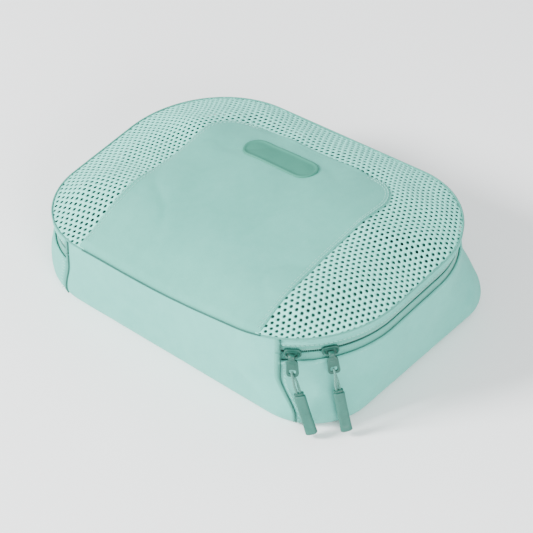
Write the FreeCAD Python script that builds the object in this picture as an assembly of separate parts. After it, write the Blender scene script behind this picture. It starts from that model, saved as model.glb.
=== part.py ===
import FreeCAD, Part
import math
import os

Vector = FreeCAD.Vector

# A soft packing cube. The origin is at the centre of its base, on the floor.
# +X runs along the spine towards the end where the two sliders are parked,
# +Y runs from the spine to the far side, and +Z is up. Sizes are in millimetres.

# Outline and fabric. Radii are for the front, right, far and left corners.
width = 254.0
depth = 180.0
sliderRadius = 70.0
cornerRadii = (sliderRadius, 64.0, 70.0, 54.0)
bulgeRadii = (44.0, 30.0, 44.0, 50.0)
lowRadii = (39.0, 26.0, 39.0, 45.0)
fabric = 1.6
lowInset = 5.0
bulgeHeight = 8.0
shoulderHeight = 30.0
highEnd = 90.0
edgeAlignment = 0.9
floorReach = 20.0

# The zip lies in a slightly tilted plane. Heights called "above zip" are along its normal.
zipHeight = 49.0
zipRiseX = 0.08
zipRiseY = 0.05
zipEndAngle = 25.0
seamAboveZip = 12.0
bandLow = 6.5
wallTopBelowZip = 6.5
foldGap = 0.4
spineReach = 60.0
tapeOuter = 1.8
tapeThickness = 0.8
tapeHeight = 11.0
teethGap = 0.9
coilOuter = 2.7
coilInner = 4.6
coilHeight = 1.5

# Lid top
crownSteps = [(0.0, 0.0), (6.0, 3.2), (16.0, 7.2), (30.0, 11.4), (46.0, 14.6), (64.0, 16.6)]
crownMinRadius = 8.0
skin = 1.2
panelHalfWidth = 74.0
panelFarEdge = 57.0
panelCorner = 24.0
labelCentre = (-10.0, 34.0)
labelLength = 58.0
labelWidth = 20.0
labelThickness = 0.8
labelRim = 1.6
labelRimHeight = 1.3
stadiumFlat = 0.01
pipingRadius = 0.75
pipingGap = 0.05

# Bindings and corner seams
bindingThickness = 1.0
bindingGap = 0.2
bindingHeight = 3.5
seamWidth = 4.0
seamThickness = 0.8
seamFoot = 2.5

# Sliders, in a frame with X towards the spine, Y outward and Z up
sliderAngles = {"a": 32.0, "b": 51.0}
plateLength = 11.0
plateHeight = 6.4
plateInner = -1.2
plateOuter = 0.4
backPlateLength = 9.0
backPlateOuter = -5.4
backPlateThickness = 1.0
plateCorner = 2.4
postLength = 2.4
postHeight = 1.2
bailReach = 3.6
bailRadius = 0.7
bailHalfSpan = 4.0

# Pulls
pullLean = {"a": 16.0, "b": 18.0}
gripSideLean = {"a": 14.0, "b": 3.0}
eyeRadius = 2.1
eyeHole = 1.1
eyeHalfWidth = 1.9
tabWidth = 8.0
tabThickness = 1.8
tabBar = 12.0
tabBarRadius = 0.8
tabCorner = 3.0
tabOverlap = 0.6
slotWidth = 4.4
slotHeight = 3.6
cordRadius = 0.75
cordLoopRadius = 1.9
cordNeck = 1.0
cordLength = 12.5
collarHeight = 1.5
collarWidth = 6.0
collarThickness = 3.8
collarCorner = 1.2
gripLength = 28.0
gripWidth = 7.5
gripThickness = 4.2
gripFillet = 1.7

arcCentreX = width / 2 - sliderRadius
arcCentreY = depth / 2 - sliderRadius
zipNormal = Vector(-zipRiseX, -zipRiseY, 1.0).normalize()
zipFrame = FreeCAD.Placement(Vector(0, 0, zipHeight), FreeCAD.Rotation(Vector(0, 0, 1), zipNormal))
zipEndX = arcCentreX + sliderRadius * math.sin(math.radians(zipEndAngle))


def outline(length, across, radii, z):
    """A closed wire round a rectangle with four rounded corners."""
    halfX = length / 2
    halfY = across / 2
    edges = []
    for (signX, signY), radius in zip(((1, -1), (1, 1), (-1, 1), (-1, -1)), radii):
        short = radius * (1 - math.sqrt(0.5))
        middle = Vector(signX * (halfX - short), signY * (halfY - short), z)
        onX = Vector(signX * halfX, signY * (halfY - radius), z)
        onY = Vector(signX * (halfX - radius), signY * halfY, z)
        first, last = (onY, onX) if signX * signY < 0 else (onX, onY)
        edges.append((first, middle, last))
    wire = []
    for index, (first, middle, last) in enumerate(edges):
        wire.append(Part.Arc(first, middle, last).toShape())
        wire.append(Part.LineSegment(last, edges[(index + 1) % len(edges)][0]).toShape())
    return Part.Wire(wire)


def ringAt(offset, radii, z):
    """The outline moved outward by offset, or inward when it is negative."""
    return outline(width + 2 * offset, depth + 2 * offset, [radius + offset for radius in radii], z)


def wallSolid(offset):
    """The filled shape of the walls, moved outward by offset."""
    wires = [ringAt(offset - lowInset, [radius + lowInset for radius in lowRadii], fabric),
             ringAt(offset, bulgeRadii, bulgeHeight),
             ringAt(offset, cornerRadii, shoulderHeight),
             ringAt(offset, cornerRadii, highEnd)]
    return Part.makeLoft(wires, True, True)


def wallShell(outer, inner):
    return wallSolid(outer).cut(wallSolid(inner))


def prism(offset):
    """A straight solid inside the outline moved outward by offset."""
    face = Part.Face(ringAt(offset, cornerRadii, 0.0))
    return face.extrude(Vector(0, 0, highEnd))


def band(outer, inner):
    return prism(outer).cut(prism(inner))


def betweenZipHeights(low, high):
    """A slab between two heights above the zip."""
    slab = Part.makeBox(2 * width, 2 * width, high - low, Vector(-width, -width, low))
    slab.Placement = zipFrame.multiply(slab.Placement)
    return slab


def spineBlock():
    """The stretch of the spine side between the two ends of the zip."""
    return Part.makeBox(2 * zipEndX, depth - spineReach, highEnd, Vector(-zipEndX, -depth, 0))


def floorUpTo(shape, high):
    """Keeps the part of a shape under a height above the zip, down to the floor."""
    return shape.common(betweenZipHeights(-floorReach - zipHeight, high))


def save(name, shape):
    solids = shape.Solids
    if len(solids) != 1 or not shape.isValid():
        print("check", name, "solids", len(solids), "valid", shape.isValid())
    solids[0].exportStep("parts/" + name + ".step")
    print(name, round(solids[0].Volume))


def caseBody():
    spine = spineBlock()
    foot = ringAt(-lowInset, [radius + lowInset for radius in lowRadii], 0.0)
    base = Part.Face(foot).extrude(Vector(0, 0, fabric))
    save("base_panel", base)
    walls = wallShell(0.0, -fabric)
    save("side_wall", floorUpTo(walls.cut(spine), -wallTopBelowZip))
    save("spine_wall", floorUpTo(walls.common(spine), -foldGap))
    tape = band(-tapeOuter, -tapeOuter - tapeThickness).cut(spine)
    save("zipper_tape_lower", tape.common(betweenZipHeights(-teethGap - tapeHeight, -teethGap)))
    coil = band(-coilOuter, -coilInner).cut(spine)
    save("zipper_coil_lower", coil.common(betweenZipHeights(-teethGap - coilHeight, -teethGap)))
    inner = -fabric - bindingGap
    low = Part.makeBox(2 * width, 2 * width, bindingHeight, Vector(-width, -width, fabric + bindingGap))
    save("base_binding", wallShell(inner, inner - bindingThickness).common(low))


def seamStrip(side):
    """A narrow upright box over the end of the zip on one side."""
    middle = side * (zipEndX - seamWidth / 2)
    return Part.makeBox(seamWidth, depth - spineReach, highEnd,
                        Vector(middle - seamWidth / 2, -depth, seamFoot))


def cornerSeams():
    skins = wallShell(seamThickness, 0.0)
    names = {1: "front", -1: "left"}
    for side, name in names.items():
        strip = skins.common(seamStrip(side))
        save("corner_seam_" + name, floorUpTo(strip, -foldGap))
        upper = strip.common(betweenZipHeights(foldGap, seamAboveZip - pipingRadius - foldGap))
        save("lid_seam_" + name, upper)


def crownSolid(lift):
    """The filled crowned top of the lid, raised by lift above the seam."""
    wires = []
    for inset, rise in crownSteps:
        radii = [max(radius - inset, crownMinRadius) for radius in cornerRadii]
        wires.append(outline(width - 2 * inset, depth - 2 * inset, radii, rise))
    solid = Part.makeLoft(wires, True, True)
    solid.translate(Vector(0, 0, seamAboveZip + lift))
    solid.Placement = zipFrame.multiply(solid.Placement)
    solid.translate(Vector(zipRiseX, zipRiseY, 0) * seamAboveZip)
    return solid


def panelPrism():
    """A tall solid with the plan of the centre panel, which meets the spine."""
    inner = panelHalfWidth - panelCorner
    far = panelFarEdge - panelCorner
    short = panelCorner * math.sqrt(0.5)
    right = [Vector(panelHalfWidth, far, 0), Vector(inner + short, far + short, 0),
             Vector(inner, panelFarEdge, 0)]
    left = [Vector(-point.x, point.y, 0) for point in reversed(right)]
    start = Vector(-panelHalfWidth, -depth, 0)
    end = Vector(panelHalfWidth, -depth, 0)
    edges = [Part.LineSegment(start, end), Part.LineSegment(end, right[0]), Part.Arc(*right),
             Part.LineSegment(right[2], left[0]), Part.Arc(*left), Part.LineSegment(left[2], start)]
    wire = Part.Wire([edge.toShape() for edge in edges])
    return Part.Face(wire).extrude(Vector(0, 0, 2 * highEnd))


def stadium(length, across):
    """A tall solid with a stadium plan, at the label's place."""
    wire = outline(length, across, [across / 2 - stadiumFlat] * len(cornerRadii), 0.0)
    solid = Part.Face(wire).extrude(Vector(0, 0, 2 * highEnd))
    solid.translate(Vector(labelCentre[0], labelCentre[1], 0))
    return solid


def lidTop():
    outer = crownSolid(0.0)
    shell = outer.cut(crownSolid(-skin))
    shell = shell.common(betweenZipHeights(seamAboveZip, highEnd))
    panel = panelPrism()
    save("centre_panel", shell.common(panel))
    save("mesh_window", shell.cut(panel))
    pad = crownSolid(labelThickness).cut(outer).common(stadium(labelLength, labelWidth))
    rimPlan = stadium(labelLength, labelWidth).cut(
        stadium(labelLength - 2 * labelRim, labelWidth - 2 * labelRim))
    rim = crownSolid(labelRimHeight).cut(outer).common(rimPlan)
    save("label_patch", pad.fuse(rim).removeSplitter())


def seamLine(offset):
    """The closed line where the outline, moved outward, meets the lid's seam plane."""
    cap = prism(offset).common(betweenZipHeights(seamAboveZip, highEnd))
    lowest = min(cap.Faces, key=lambda face: face.CenterOfMass.z)
    return lowest.OuterWire


def lidPiping():
    """A thin cord round the seam at the top of the lid's side."""
    path = seamLine(pipingRadius + pipingGap)
    first = path.OrderedEdges[0]
    start = first.valueAt(first.FirstParameter)
    section = Part.Wire([Part.makeCircle(pipingRadius, start, first.tangentAt(first.FirstParameter))])
    save("lid_piping", path.makePipeShell([section], True, False))


def lidBody():
    spine = spineBlock()
    sides = band(0.0, -fabric)
    save("lid_band", sides.cut(spine).common(betweenZipHeights(bandLow, seamAboveZip)))
    save("spine_strip", sides.common(spine).common(betweenZipHeights(foldGap, seamAboveZip)))
    tape = band(-tapeOuter, -tapeOuter - tapeThickness).cut(spine)
    save("zipper_tape_upper", tape.common(betweenZipHeights(teethGap, seamAboveZip - foldGap)))
    coil = band(-coilOuter, -coilInner).cut(spine)
    save("zipper_coil_upper", coil.common(betweenZipHeights(teethGap, teethGap + coilHeight)))
    inner = -tapeOuter - tapeThickness - bindingGap
    strip = band(inner, inner - bindingThickness)
    low = seamAboveZip - foldGap - bindingHeight
    save("lid_binding", strip.common(betweenZipHeights(low, seamAboveZip - foldGap)))


def centredBox(length, lowY, highY, height):
    return Part.makeBox(length, highY - lowY, height, Vector(-length / 2, lowY, -height / 2))


def edgesAlong(shape, axis):
    """The straight edges of a box that run along one axis."""
    return [edge for edge in shape.Edges
            if abs(edge.tangentAt(edge.FirstParameter).dot(axis)) > edgeAlignment]


def rod(start, end, radius):
    along = end - start
    return Part.makeCylinder(radius, along.Length, start, along)


def sliderFrame(angle):
    """Local X points back along the zip to the spine, Y outward and Z up."""
    turn = math.radians(angle)
    tangent = Vector(math.cos(turn), math.sin(turn), 0)
    outward = Vector(math.sin(turn), -math.cos(turn), 0)
    tangent.z = zipRiseX * tangent.x + zipRiseY * tangent.y
    place = Vector(arcCentreX, -arcCentreY, 0) + outward * sliderRadius
    place.z = zipHeight + zipRiseX * place.x + zipRiseY * place.y
    up = tangent.cross(outward) * -1
    return FreeCAD.Placement(place, FreeCAD.Rotation(tangent * -1, outward, up, "YXZ"))


def placed(shape, frame):
    shape.Placement = frame.multiply(shape.Placement)
    return shape


def slider(name, frame):
    front = centredBox(plateLength, plateInner, plateOuter, plateHeight)
    front = front.makeFillet(plateCorner, edgesAlong(front, Vector(0, 1, 0)))
    post = centredBox(postLength, backPlateOuter, plateInner, postHeight)
    back = centredBox(backPlateLength, backPlateOuter - backPlateThickness, backPlateOuter, plateHeight)
    body = front.fuse([post, back]).removeSplitter()
    save("slider_" + name + "_body", placed(body, frame))
    left = Vector(-bailHalfSpan, plateOuter, 0)
    right = Vector(bailHalfSpan, plateOuter, 0)
    leftTop = Vector(-bailHalfSpan, bailReach, 0)
    rightTop = Vector(bailHalfSpan, bailReach, 0)
    pieces = [rod(left, leftTop, bailRadius), rod(right, rightTop, bailRadius),
              rod(leftTop, rightTop, bailRadius),
              Part.makeSphere(bailRadius, leftTop), Part.makeSphere(bailRadius, rightTop)]
    bail = pieces[0].fuse(pieces[1:]).removeSplitter()
    save("slider_" + name + "_bail", placed(bail, frame))


def pullTab(name, frame):
    eye = rod(Vector(-eyeHalfWidth, 0, 0), Vector(eyeHalfWidth, 0, 0), eyeRadius)
    plate = Part.makeBox(tabWidth, tabThickness, tabBar - eyeRadius + tabOverlap,
                         Vector(-tabWidth / 2, -tabThickness / 2, -tabBar))
    corners = [edge for edge in edgesAlong(plate, Vector(0, 1, 0)) if edge.BoundBox.ZMin > -tabBar / 2]
    plate = plate.makeFillet(tabCorner, corners)
    bar = rod(Vector(-tabWidth / 2, 0, -tabBar), Vector(tabWidth / 2, 0, -tabBar), tabThickness / 2)
    slot = Part.makeBox(slotWidth, 4 * tabThickness, slotHeight + tabBarRadius,
                        Vector(-slotWidth / 2, -2 * tabThickness, -tabBar))
    hole = rod(Vector(-tabWidth, 0, 0), Vector(tabWidth, 0, 0), eyeHole)
    thinBar = rod(Vector(-tabWidth / 2, 0, -tabBar), Vector(tabWidth / 2, 0, -tabBar), tabBarRadius)
    under = Part.makeBox(slotWidth, 4 * tabThickness, 2 * tabThickness,
                         Vector(-slotWidth / 2, -2 * tabThickness, -tabBar - 2 * tabThickness))
    tab = eye.fuse([plate, bar]).cut(slot).cut(hole).cut(under).fuse(thinBar).removeSplitter()
    save("pull_" + name + "_tab", placed(tab, frame))


def pullGrip(name, frame):
    ring = Part.makeTorus(cordLoopRadius, cordRadius, Vector(0, 0, 0), Vector(1, 0, 0))
    reach = cordLoopRadius + 2 * cordRadius
    upper = Part.makeBox(2 * reach, 2 * reach, reach, Vector(-reach, -reach, 0))
    strands = []
    for side in (-1, 1):
        top = Vector(0, side * cordLoopRadius, 0)
        foot = Vector(0, side * cordNeck, -cordLength - cordRadius)
        strands.append(rod(top, foot, cordRadius))
        strands.append(Part.makeSphere(cordRadius, top))
    keep = Part.makeBox(2 * reach, 2 * reach, cordLength + reach, Vector(-reach, -reach, -cordLength))
    cord = ring.common(upper).fuse(strands).common(keep).removeSplitter()
    save("pull_" + name + "_cord", placed(cord, frame))
    collarLow = -cordLength - collarHeight
    collar = Part.makeBox(collarWidth, collarThickness, collarHeight,
                          Vector(-collarWidth / 2, -collarThickness / 2, collarLow))
    upright = edgesAlong(collar, Vector(0, 0, 1))
    save("pull_" + name + "_collar", placed(collar.makeFillet(collarCorner, upright), frame))
    grip = Part.makeBox(gripWidth, gripThickness, gripLength,
                        Vector(-gripWidth / 2, -gripThickness / 2, collarLow - gripLength))
    save("pull_" + name + "_grip", placed(grip.makeFillet(gripFillet, grip.Edges), frame))


def turned(axis, angle):
    return FreeCAD.Placement(Vector(0, 0, 0), FreeCAD.Rotation(axis, angle))


def main():
    os.makedirs("parts", exist_ok=True)
    caseBody()
    cornerSeams()
    lidTop()
    lidPiping()
    lidBody()
    for name, angle in sliderAngles.items():
        frame = sliderFrame(angle)
        slider(name, frame)
        atBail = FreeCAD.Placement(Vector(0, bailReach, 0), FreeCAD.Rotation())
        pullFrame = frame.multiply(atBail).multiply(turned(Vector(1, 0, 0), pullLean[name]))
        pullTab(name, pullFrame)
        atBar = FreeCAD.Placement(Vector(0, 0, -tabBar), FreeCAD.Rotation())
        lean = turned(Vector(0, 1, 0), gripSideLean[name])
        pullGrip(name, pullFrame.multiply(atBar).multiply(lean))


main()
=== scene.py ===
# A soft zip-round packing cube in mint woven fabric with a net lid.
# Metres throughout. +X runs along the spine, +Y to the far side, +Z up.
import math

import bmesh
import bpy
import numpy as np
from mathutils import Matrix, Vector, noise


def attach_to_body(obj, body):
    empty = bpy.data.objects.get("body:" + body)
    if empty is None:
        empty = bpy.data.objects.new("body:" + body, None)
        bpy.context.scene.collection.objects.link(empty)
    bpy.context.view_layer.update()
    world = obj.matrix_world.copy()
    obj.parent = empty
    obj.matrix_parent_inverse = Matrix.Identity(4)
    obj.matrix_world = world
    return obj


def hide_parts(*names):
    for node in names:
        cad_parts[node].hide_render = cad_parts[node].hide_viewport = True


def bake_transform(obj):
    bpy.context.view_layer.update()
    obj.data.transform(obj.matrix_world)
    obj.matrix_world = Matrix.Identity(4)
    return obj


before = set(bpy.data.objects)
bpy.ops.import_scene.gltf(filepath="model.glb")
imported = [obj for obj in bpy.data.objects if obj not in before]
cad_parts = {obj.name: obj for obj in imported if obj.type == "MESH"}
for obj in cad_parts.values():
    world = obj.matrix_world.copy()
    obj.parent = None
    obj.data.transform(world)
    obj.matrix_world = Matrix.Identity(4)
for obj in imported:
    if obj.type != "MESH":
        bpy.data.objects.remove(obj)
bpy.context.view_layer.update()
mm = 0.001
print("frame loaded")


class Wire:
    # one output socket; sums and products on it add Math nodes
    def __init__(self, graph, socket):
        self.graph = graph
        self.socket = socket

    def maths(self, operation, *others):
        values = dict(enumerate((self,) + others))
        return self.graph.add("ShaderNodeMath", {"operation": operation}, values)

    def __add__(self, other):
        return self.maths("ADD", other)

    def __sub__(self, other):
        return self.maths("SUBTRACT", other)

    def __rsub__(self, other):
        return self.maths("MULTIPLY", -1.0).maths("ADD", other)

    def __mul__(self, other):
        return self.maths("MULTIPLY", other)

    def __truediv__(self, other):
        return self.maths("DIVIDE", other)

    __radd__ = __add__
    __rmul__ = __mul__

    def sine(self):
        return self.maths("SINE")

    def size(self):
        return self.maths("ABSOLUTE")

    def held(self):
        # kept between 0 and 1
        return self.maths("MINIMUM", 1.0).maths("MAXIMUM", 0.0)


class Graph:
    # adds nodes to one tree: type, settings first, then values or links
    def __init__(self, tree):
        self.tree = tree

    def add(self, kind, settings=None, values=None, output=0):
        node = self.tree.nodes.new(kind)
        for key, value in (settings or {}).items():
            setattr(node, key, value)
        for key, value in (values or {}).items():
            if isinstance(value, Wire):
                self.tree.links.new(value.socket, node.inputs[key])
            else:
                node.inputs[key].default_value = value
        if output is None:
            return node
        return Wire(self, node.outputs[output])

    def mix(self, factor, first, second):
        return self.add("ShaderNodeMix", {"data_type": "RGBA"}, {0: factor, 6: first, 7: second}, 2)

    def split(self, vector):
        node = self.add("ShaderNodeSeparateXYZ", None, {0: vector}, None)
        return [Wire(self, socket) for socket in node.outputs]

    def places(self, *kinds):
        # texture coordinates of the kinds asked for
        coords = self.add("ShaderNodeTexCoord", None, None, None)
        return [Wire(self, coords.outputs[kind]) for kind in kinds]

    def noise(self, place, scale, detail, distortion=0.0):
        return self.add("ShaderNodeTexNoise", None, {
            "Vector": place, "Scale": scale, "Detail": detail, "Distortion": distortion})

    def bump(self, height, strength):
        return self.add("ShaderNodeBump", None, {"Height": height, "Strength": strength, "Distance": 1.0})


def shade(colour):
    # display colour from 0 to 255, by the sRGB curve, to linear
    def linear(value):
        return value / 12.92 if value <= 0.04045 else ((value + 0.055) / 1.055) ** 2.4

    return (*(linear(value / 255) for value in colour), 1.0)


def newMaterial(name, **constants):
    material = bpy.data.materials.new(name)
    material.use_nodes = True
    tree = material.node_tree
    shader = tree.nodes["Principled BSDF"]
    for key, value in constants.items():
        shader.inputs[key].default_value = value
    return material, Graph(tree), shader


def plug(graph, shader, **wires):
    for key, wire in wires.items():
        graph.tree.links.new(wire.socket, shader.inputs[key])


def finish(graph, shader, tone, dark, colour, height, strength, **wires):
    # a colour between two shades, and a bump
    plug(graph, shader, **{"Base Color": graph.mix(tone, shade(dark), shade(colour))},
         Normal=graph.bump(height, strength), **wires)


fabricLook = {
    "thread": 0.55 * mm, "weaveDepth": 0.10 * mm, "slubDepth": 0.12 * mm, "creaseDepth": 0.5 * mm,
    "broadScale": 14.0, "rumpleScale": 46.0, "slubScale": 160.0, "fineScale": 900.0, "distortion": 0.6,
    "mottle": 0.35, "slubTone": 0.35, "fineTone": 0.25, "weaveTone": 0.22, "baseTone": 0.40,
    "roughness": 0.82, "roughnessRange": 0.10, "specular": 0.22, "bump": 0.85,
    "sheen": 0.14, "sheenRoughness": 0.45, "sheenTint": (0.55, 0.95, 0.88, 1),
}


def wovenFabric(name, colour, dark, look=fabricLook, useUv=True):
    # plain weave: two sets of threads that pass over each other in turn
    material, graph, shader = newMaterial(name, **{
        "Sheen Weight": look["sheen"], "Sheen Roughness": look["sheenRoughness"],
        "Sheen Tint": look["sheenTint"], "Specular IOR Level": look["specular"]})
    place, solid = graph.places("UV" if useUv else "Object", "Object")
    across, along, _ = graph.split(place)
    rate = math.pi / look["thread"]
    warp = (across * rate).sine()
    weft = (along * rate).sine()
    over = (warp * weft * 4.0 + 0.5).held()
    weave = warp.size() * over + weft.size() * (1 - over)
    broad = graph.noise(solid, look["broadScale"], 3.0)
    fine = graph.noise(solid, look["fineScale"], 2.0)
    slub = graph.noise(solid, look["slubScale"], 4.0)
    tone = (broad - 0.5) * look["mottle"] * 1.6 + (slub - 0.5) * look["slubTone"]
    tone = tone + (fine - 0.5) * look["fineTone"] + weave * look["weaveTone"] + look["baseTone"]
    rumple = graph.noise(solid, look["rumpleScale"], 3.0, look["distortion"])
    height = weave * look["weaveDepth"] + (slub - 0.5) * look["slubDepth"] + broad * look["creaseDepth"]
    height = height + rumple * look["creaseDepth"] * 1.1
    rough = (fine - 0.5) * look["roughnessRange"] + look["roughness"]
    finish(graph, shader, tone.held(), dark, colour, height, look["bump"], Roughness=rough)
    return material


tapeLook = {"rib": 1.1 * mm, "depth": 0.16 * mm, "chevron": 2.64, "chevronTurns": 0.25,
            "lengthwiseTurns": 1.4, "lengthwiseDepth": 0.7, "tone": 0.35, "baseTone": 0.2}


def tapeFabric(name, colour, dark):
    # herringbone ribs that run along the zip tape
    material, graph, shader = newMaterial(name, **{
        "Sheen Weight": 0.2, "Sheen Roughness": 0.5, "Specular IOR Level": 0.25, "Roughness": 0.8})
    look = tapeLook
    along, across, _ = graph.split(graph.places("UV")[0])
    rate = 2 * math.pi / look["rib"]
    chevron = (across * rate * look["chevronTurns"]).sine().size() * look["chevron"]
    rib = (along * rate + chevron).sine() * 0.5 + 0.5
    lengthwise = (across * rate * look["lengthwiseTurns"]).sine() * 0.5 + 0.5
    height = rib * look["depth"] + lengthwise * look["depth"] * look["lengthwiseDepth"]
    tone = rib * look["tone"] + lengthwise * look["tone"] + look["baseTone"]
    finish(graph, shader, tone, dark, colour, height, 0.9)
    return material


mouldedLook = {"grain": 0.05 * mm, "fineScale": 700.0, "wideScale": 90.0, "fineTone": 0.5,
               "wideTone": 0.8, "baseTone": 0.55, "roughnessRange": 0.25}


def mouldedFinish(name, colour, dark, roughness, coat=0.0):
    # moulded or enamelled surface with a fine grain and slightly rubbed tone
    material, graph, shader = newMaterial(name, **{
        "Coat Weight": coat, "Coat Roughness": 0.25, "Specular IOR Level": 0.3})
    look = mouldedLook
    place, = graph.places("Object")
    fine = graph.noise(place, look["fineScale"], 3.0)
    wide = graph.noise(place, look["wideScale"], 2.0)
    tone = (fine - 0.5) * look["fineTone"] + (wide - 0.5) * look["wideTone"] + look["baseTone"]
    rough = (wide - 0.5) * look["roughnessRange"] + roughness
    finish(graph, shader, tone.held(), dark, colour, fine * look["grain"], 0.8, Roughness=rough)
    return material


braid = {"lay": 2.2 * mm, "strands": 8, "depth": 0.15 * mm}


def braidedCord(name, colour, dark):
    # slanted strands that cross round the cord; U runs round it and V along it
    material, graph, shader = newMaterial(name, **{"Sheen Weight": 0.2, "Roughness": 0.75})
    around, along, _ = graph.split(graph.places("UV")[0])
    turned = around * (braid["strands"] * math.pi)
    climbed = along * (2 * math.pi / braid["lay"])
    strands = (turned + climbed).sine().maths("MAXIMUM", (turned - climbed).sine()) * 0.5 + 0.5
    finish(graph, shader, strands, dark, colour, strands * braid["depth"], 0.9)
    return material


shellFabric = wovenFabric("mint shell weave", (108, 192, 179), (74, 160, 146))
panelFabric = wovenFabric("mint panel weave", (100, 184, 169), (68, 152, 137))
# a lighter copy of the shell fabric for the inside faces: painted light that brightens the shaded inside
# seen through the net
insideFabricPaintedLight = wovenFabric("deep mint inside weave", (150, 230, 214), (122, 206, 190))
liningFabric = wovenFabric("mint binding weave", (84, 148, 137), (60, 120, 109))
# a darker copy of the shell fabric for the seam folds and the lid's piping cord: painted shade of the
# folds
seamFabricPaintedShade = wovenFabric("mint seam fold", (90, 168, 154), (58, 130, 117))
# a dark fabric for thin lines beside the seams: painted shade of their creases
creaseShadeFabric = wovenFabric("deep mint piping", (50, 110, 98), (30, 78, 69))
netLook = {**fabricLook, "thread": 0.35 * mm, "creaseDepth": 0.0, "mottle": 0.2}
netYarn = wovenFabric("pale net yarn", (146, 238, 222), (112, 212, 195), netLook, useUv=False)
zipTape = tapeFabric("ribbed mint zip tape", (88, 176, 161), (52, 126, 112))
coilNylon = mouldedFinish("mint coil nylon", (60, 116, 107), (40, 88, 80), 0.4)
patchRubber = mouldedFinish("sea green patch rubber", (56, 130, 112), (46, 116, 99), 0.68)
enamel = mouldedFinish("sea green enamel", (36, 92, 80), (22, 66, 57), 0.45, 0.1)
gripRubber = mouldedFinish("sea green grip rubber", (50, 108, 96), (36, 86, 76), 0.5)
cordFinish = braidedCord("sea green braid", (70, 134, 121), (34, 82, 72))
threadFinish = mouldedFinish("mint thread", (150, 214, 203), (116, 184, 172), 0.7)
print("finishes ready")


cube = {
    "width": 254 * mm, "depth": 180 * mm,
    "lowInset": 5 * mm, "bulgeHeight": 8.5 * mm,
    "zipHeight": 49 * mm, "riseX": 0.08, "riseY": 0.05, "seamAboveZip": 12 * mm,
    "crown": 17.4 * mm, "crownPower": 2.4, "zipEndAngle": 25.0,
    "sag": 3.8 * mm, "sagReach": 34 * mm, "sagHalfWidth": 92 * mm,
    "arcSteps": 36, "longSteps": 38, "shortSteps": 14,
}
# radii of the front, right, far and left corners
cornerRadii = np.array([70, 64, 70, 54]) * mm
bulgeRadii = np.array([44, 29, 42, 50]) * mm
shoulders = np.array([32, 47, 36, 29]) * mm
halfX = cube["width"] / 2
halfY = cube["depth"] / 2
corner = float(cornerRadii[0])
coreX = halfX - corner
coreY = halfY - corner


def smooth(value):
    value = np.clip(value, 0.0, 1.0)
    return value * value * (3 - 2 * value)


def zipZ(x, y):
    return cube["zipHeight"] + cube["riseX"] * x + cube["riseY"] * y


def seamZ(x, y):
    # the spine's seam hangs a little in the middle
    along = np.cos(np.clip(x / cube["sagHalfWidth"], -1, 1) * math.pi / 2) ** 2
    near = np.clip(1 - (y + halfY) / cube["sagReach"], 0, 1)
    return zipZ(x, y) + cube["seamAboveZip"] - cube["sag"] * along * smooth(near)


cornerSigns = np.array([(1, -1), (1, 1), (-1, 1), (-1, -1)], float)


def makeColumns():
    # one row for each column round the outline: two corner numbers, an angle and a share
    table = []
    straights = (cube["shortSteps"], cube["longSteps"], cube["shortSteps"], cube["longSteps"])
    for index in range(4):
        following = (index + 1) % 4
        start = -90 + 90 * index
        for step in range(cube["arcSteps"]):
            angle = start + 90 * step / cube["arcSteps"]
            table.append((index, index, angle, 0.0))
        for step in range(straights[index]):
            table.append((index, following, start + 90, step / straights[index]))
    return np.array(table, float)


columns = makeColumns()
columnCount = len(columns)


def outlineAt(place, inset, radii):
    # points on the outline at fractional column numbers, with outward directions
    place = np.atleast_1d(np.asarray(place, float)) % columnCount
    low = np.floor(place).astype(int) % columnCount
    share = (place - np.floor(place))[:, None]
    inset = np.broadcast_to(inset, place.shape)
    radii = np.broadcast_to(radii, (len(place), 4))
    every = np.arange(len(place))

    def end(number, out):
        radius = radii[every, number]
        reach = np.stack([halfX - inset - radius, halfY - inset - radius], 1)
        return cornerSigns[number] * reach + out * radius[:, None]

    def whole(number):
        row = columns[number]
        angle = np.radians(row[:, 2])
        out = np.stack([np.cos(angle), np.sin(angle)], 1)
        first = end(row[:, 0].astype(int), out)
        last = end(row[:, 1].astype(int), out)
        return first * (1 - row[:, 3:4]) + last * row[:, 3:4], out

    here, outHere = whole(low)
    there, outThere = whole((low + 1) % columnCount)
    out = outHere * (1 - share) + outThere * share
    out /= np.linalg.norm(out, axis=1)[:, None]
    return here * (1 - share) + there * share, out


def arcLengths():
    points, _ = outlineAt(np.arange(columnCount + 1), 0.0, cornerRadii)
    steps = np.linalg.norm(np.diff(points, axis=0), axis=1)
    return np.concatenate([[0], np.cumsum(steps)])


lengthAt = arcLengths()


def runAt(places):
    # length along the outline at fractional column numbers
    return np.interp(places, np.arange(len(lengthAt)), lengthAt)


frontEnd = cube["arcSteps"] * cube["zipEndAngle"] / 90
sideStart = 3 * cube["arcSteps"] + 2 * cube["shortSteps"] + cube["longSteps"]
zipEndX = coreX + corner * math.sin(math.radians(cube["zipEndAngle"]))
leftRadius = float(cornerRadii[3])
leftAngle = math.degrees(math.asin((zipEndX - halfX + leftRadius) / leftRadius))
leftEnd = sideStart + cube["arcSteps"] * (1 - leftAngle / 90)


def wallProfile(z):
    # inset and corner radii of the outline at each height
    z = np.asarray(z, float)
    low = np.clip((cube["bulgeHeight"] - z) / cube["bulgeHeight"], 0, 1)
    inset = cube["lowInset"] * (1 - np.sqrt(1 - low * low))
    lift = smooth((z[:, None] - cube["bulgeHeight"]) / (shoulders - cube["bulgeHeight"]))
    radii = bulgeRadii + (cornerRadii - bulgeRadii) * lift
    return inset, radii - inset[:, None]


def cornerOf(x, y):
    # radius of the corner in whose quarter each point lies
    right = np.where(y < 0, cornerRadii[0], cornerRadii[1])
    left = np.where(y < 0, cornerRadii[3], cornerRadii[2])
    return np.where(x > 0, right, left)


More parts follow.
